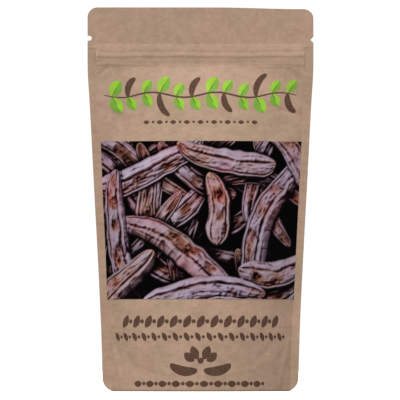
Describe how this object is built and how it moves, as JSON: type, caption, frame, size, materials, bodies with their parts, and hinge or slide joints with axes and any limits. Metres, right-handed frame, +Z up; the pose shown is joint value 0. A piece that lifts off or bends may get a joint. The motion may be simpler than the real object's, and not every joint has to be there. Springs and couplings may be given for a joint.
{
  "type": "filled stand-up pouch",
  "caption": "Kraft paper stand-up pouch with a zip, tear notches, a picture label and a folded bottom gusset, filled with dry carob pods and standing upright.",
  "frame": {"origin": "middle of the base, on the surface that the pouch stands on, between its front and back panels", "axes": "+Z up from the base to the header, X across the width, -Y towards the front with the label"},
  "size_m": [0.16, 0.0688, 0.2718],
  "materials": {
    "kraft": "matte",
    "label": "satin",
    "zip_film": "satin",
    "pod_skin": "satin"
  },
  "bodies": {
    "root": {"front_panel": "kraft", "back_panel": "kraft", "bottom_gusset": "kraft", "front_label": "label", "zip_rib": "zip_film", "zip_groove": "zip_film", "pod_01": "pod_skin", "pod_02": "pod_skin", "pod_03": "pod_skin", "pod_04": "pod_skin", "pod_05": "pod_skin", "pod_06": "pod_skin", "pod_07": "pod_skin", "pod_08": "pod_skin", "pod_09": "pod_skin", "pod_10": "pod_skin", "pod_11": "pod_skin", "pod_12": "pod_skin", "pod_13": "pod_skin", "pod_14": "pod_skin"}
  },
  "joints": []
}
